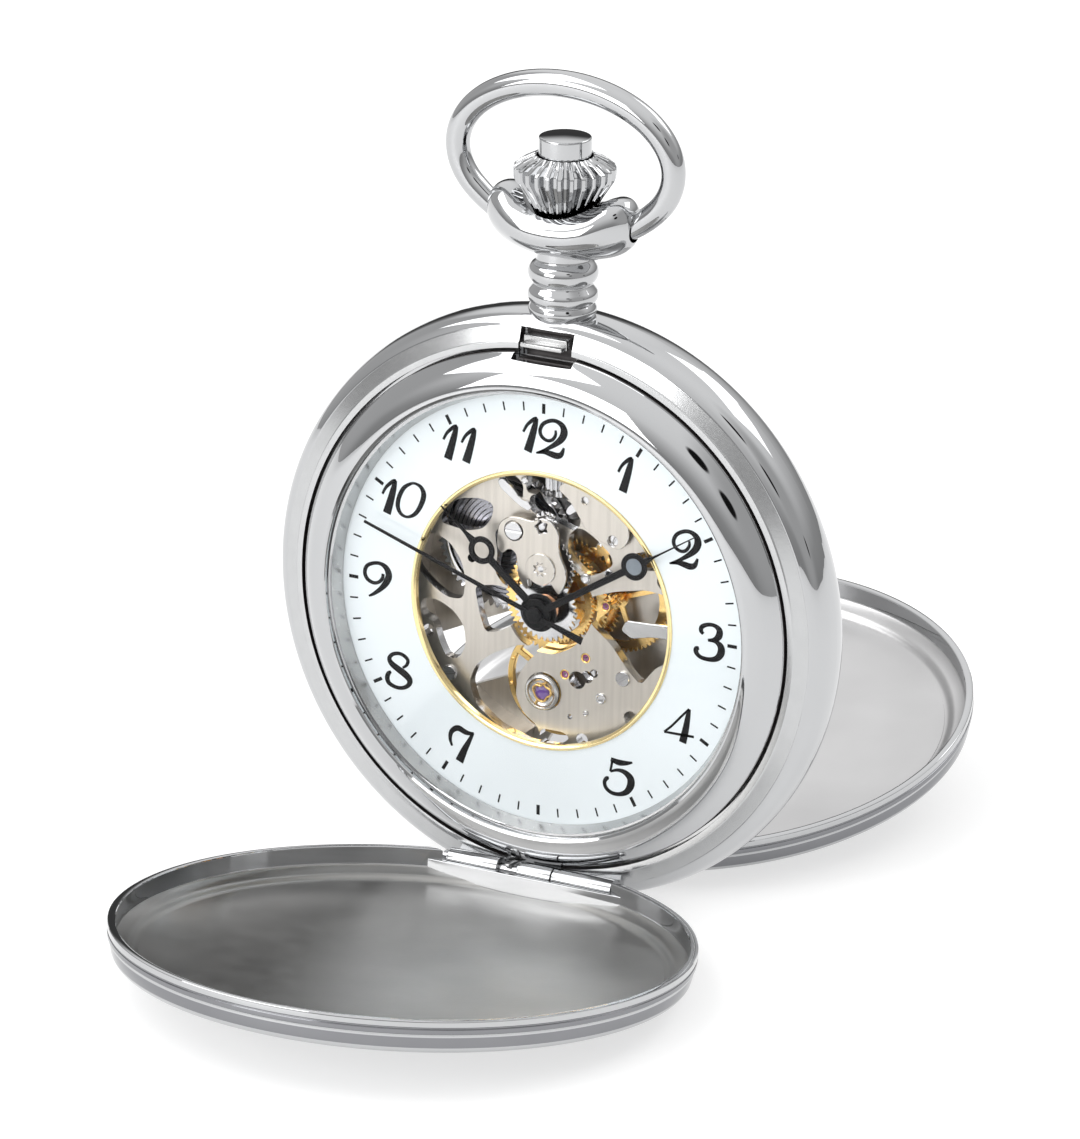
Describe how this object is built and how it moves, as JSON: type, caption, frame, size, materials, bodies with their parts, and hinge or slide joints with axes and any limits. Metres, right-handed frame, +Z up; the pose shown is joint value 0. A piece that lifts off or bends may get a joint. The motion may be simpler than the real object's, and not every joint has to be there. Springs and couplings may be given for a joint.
{
  "type": "pocket watch",
  "caption": "Double-lid skeleton pocket watch, open, standing on its lids: ring dial over an exposed hand-wound movement, fluted crown and swinging bow.",
  "frame": {"origin": "on the ground under the middle of the bounding box, which is 0.3 mm in front of the case's middle plane", "axes": "+X to 3 o'clock, +Z up to 12 o'clock and the crown, -Y out of the dial towards the viewer; longest along Y because both lids stand open"},
  "size_m": [0.048, 0.0952, 0.0663],
  "materials": {
    "polished_case": "mirror-polished, silver tone",
    "satin_steel": "fine satin",
    "plate_nickel": "vertical satin grain on warm nickel plating",
    "gilt_brass": "gilt, satin",
    "polished_steel": "polished steel",
    "spring_steel": "dark tempered spring steel",
    "hand_black": "gloss black",
    "dial_pearl": "pale mother-of-pearl sheen",
    "crystal": "clear watch crystal"
  },
  "bodies": {
    "case": {"case_band": "polished_case", "front_bezel": "polished_case", "rear_bezel": "polished_case", "front_crystal": "crystal", "rear_crystal": "crystal", "dial": "dial_pearl", "dial_opening_ring": "gilt_brass", "movement_ring": "satin_steel", "main_plate": "plate_nickel", "barrel_bridge": "plate_nickel", "train_bridge": "plate_nickel", "balance_cock": "plate_nickel", "pallet_bridge": "polished_steel", "minute_work_bridge": "satin_steel", "minute_bridge_screw": "polished_steel", "plate_screw_1": "polished_steel", "plate_screw_2": "polished_steel", "plate_screw_3": "polished_steel", "balance_jewel_setting": "polished_steel", "front_lift_spring": "satin_steel", "rear_lift_spring": "satin_steel", "front_hinge_pin": "polished_steel", "rear_hinge_pin": "polished_steel", "pendant_neck": "polished_case", "pendant_yoke": "polished_case"},
    "front_cover": {"front_lid": "polished_case"},
    "rear_cover": {"rear_lid": "polished_case"},
    "bow_ring": {"bow": "polished_case"},
    "stem": {"winding_stem": "polished_steel", "winding_pinion": "polished_steel"},
    "clutch": {"sliding_clutch": "polished_steel"},
    "crown_knob": {"crown": "polished_case"},
    "button": {"release_button": "polished_case"},
    "catch": {"front_catch": "satin_steel"},
    "lever": {"setting_lever": "satin_steel"},
    "seconds": {"fourth_wheel": "gilt_brass", "seconds_hand": "hand_black"},
    "minutes": {"centre_wheel": "gilt_brass", "cannon_pinion": "polished_steel", "minute_hand": "hand_black"},
    "hours": {"hour_wheel": "polished_steel", "hour_hand": "hand_black"},
    "third": {"third_wheel": "gilt_brass"},
    "barrel_drum": {"barrel": "gilt_brass", "mainspring": "spring_steel"},
    "escape": {"escape_wheel": "polished_steel"},
    "pallet": {"pallet_fork": "polished_steel"},
    "balance": {"balance_wheel": "gilt_brass", "hairspring": "spring_steel"},
    "minute_work": {"minute_wheel": "gilt_brass"},
    "setting": {"setting_wheel": "polished_steel"},
    "ratchet": {"ratchet_wheel": "polished_steel"},
    "crown_gear": {"crown_wheel": "polished_steel"},
    "click_pawl": {"click": "polished_steel"}
  },
  "joints": [
    {"name": "front_lid_hinge", "type": "hinge", "parent": "case", "child": "front_cover", "pos_m": [0, -0.00351, 0.00183], "axis": [1, 0, 0], "range_deg": [-84.7, 0]},
    {"name": "rear_lid_hinge", "type": "hinge", "parent": "case", "child": "rear_cover", "pos_m": [0, 0.00415, 0.00183], "axis": [1, 0, 0], "range_deg": [0, 78.8]},
    {"name": "bow_swing", "type": "hinge", "parent": "case", "child": "bow_ring", "pos_m": [0, 0.00032, 0.05446], "axis": [1, 0, 0], "range_deg": [-80, 80]},
    {"name": "crown_turn", "type": "hinge", "parent": "case", "child": "stem", "pos_m": [0, 0.00032, 0.03551], "axis": [0, 0, 1], "continuous": true},
    {"name": "crown_pull", "type": "slide", "parent": "stem", "child": "crown_knob", "axis": [0, 0, 1], "range_m": [0, 0.0009]},
    {"name": "button_push", "type": "slide", "parent": "crown_knob", "child": "button", "axis": [0, 0, 1], "range_m": [-0.0005, 0], "stiffness_N_per_m": 200},
    {"name": "clutch_slide", "type": "slide", "parent": "stem", "child": "clutch", "axis": [0, 0, 1], "range_m": [-0.0004, 0]},
    {"name": "catch_slide", "type": "slide", "parent": "case", "child": "catch", "axis": [0, 0, -1], "range_m": [0, 0.0005]},
    {"name": "setting_lever_pivot", "type": "hinge", "parent": "case", "child": "lever", "pos_m": [0.0032, -0.00138, 0.03281], "axis": [0, 1, 0], "range_deg": [0, 12]},
    {"name": "seconds_turn", "type": "hinge", "parent": "case", "child": "seconds", "pos_m": [0, 0.00032, 0.02351], "axis": [0, 1, 0], "continuous": true},
    {"name": "minutes_turn", "type": "hinge", "parent": "case", "child": "minutes", "pos_m": [0, 0.00032, 0.02351], "axis": [0, 1, 0], "continuous": true},
    {"name": "hours_turn", "type": "hinge", "parent": "case", "child": "hours", "pos_m": [0, -0.00168, 0.02351], "axis": [0, 1, 0], "continuous": true},
    {"name": "third_turn", "type": "hinge", "parent": "case", "child": "third", "pos_m": [0.00484, 0.00032, 0.02424], "axis": [0, 1, 0], "continuous": true},
    {"name": "barrel_turn", "type": "hinge", "parent": "case", "child": "barrel_drum", "pos_m": [-0.005, 0.00132, 0.02761], "axis": [0, 1, 0], "continuous": true},
    {"name": "escape_turn", "type": "hinge", "parent": "case", "child": "escape", "pos_m": [0.00319, 0.00032, 0.0197], "axis": [0, 1, 0], "continuous": true},
    {"name": "pallet_rock", "type": "hinge", "parent": "case", "child": "pallet", "pos_m": [0.0014, 0.00052, 0.01803], "axis": [0, 1, 0], "range_deg": [-3.5, 3.5]},
    {"name": "balance_swing", "type": "hinge", "parent": "case", "child": "balance", "pos_m": [-0.00044, 0.00132, 0.01631], "axis": [0, 1, 0], "range_deg": [-140, 140], "stiffness_Nm_per_rad": 0.0000004},
    {"name": "minute_wheel_turn", "type": "hinge", "parent": "case", "child": "minute_work", "pos_m": [-0.00029, -0.00168, 0.02676], "axis": [0, 1, 0], "continuous": true},
    {"name": "setting_wheel_turn", "type": "hinge", "parent": "case", "child": "setting", "pos_m": [-0.00029, -0.00168, 0.03019], "axis": [0, 1, 0], "continuous": true},
    {"name": "crown_wheel_turn", "type": "hinge", "parent": "case", "child": "crown_gear", "pos_m": [0, 0.00232, 0.03191], "axis": [0, 1, 0], "continuous": true},
    {"name": "ratchet_turn", "type": "hinge", "parent": "case", "child": "ratchet", "pos_m": [-0.005, 0.00232, 0.02761], "axis": [0, 1, 0], "continuous": true},
    {"name": "click_pivot", "type": "hinge", "parent": "case", "child": "click_pawl", "pos_m": [-0.0099, 0.00332, 0.02971], "axis": [0, 1, 0], "range_deg": [-12, 0], "stiffness_Nm_per_rad": 0.00002}
  ],
  "couplings": [
    {"joint": "minutes_turn", "follows": "seconds_turn", "ratio": 0.016667},
    {"joint": "hours_turn", "follows": "seconds_turn", "ratio": 0.0013889},
    {"joint": "third_turn", "follows": "seconds_turn", "ratio": -0.13333},
    {"joint": "barrel_turn", "follows": "seconds_turn", "ratio": -0.0020833},
    {"joint": "escape_turn", "follows": "seconds_turn", "ratio": -10},
    {"joint": "minute_wheel_turn", "follows": "seconds_turn", "ratio": -0.0055556},
    {"joint": "setting_wheel_turn", "follows": "seconds_turn", "ratio": 0.013889},
    {"joint": "crown_wheel_turn", "follows": "crown_turn", "ratio": -0.5},
    {"joint": "ratchet_turn", "follows": "crown_turn", "ratio": 0.33333},
    {"joint": "clutch_slide", "follows": "crown_pull", "ratio": -0.44444},
    {"joint": "setting_lever_pivot", "follows": "crown_pull", "rad_per_m": 220},
    {"joint": "catch_slide", "follows": "button_push", "ratio": -1}
  ]
}
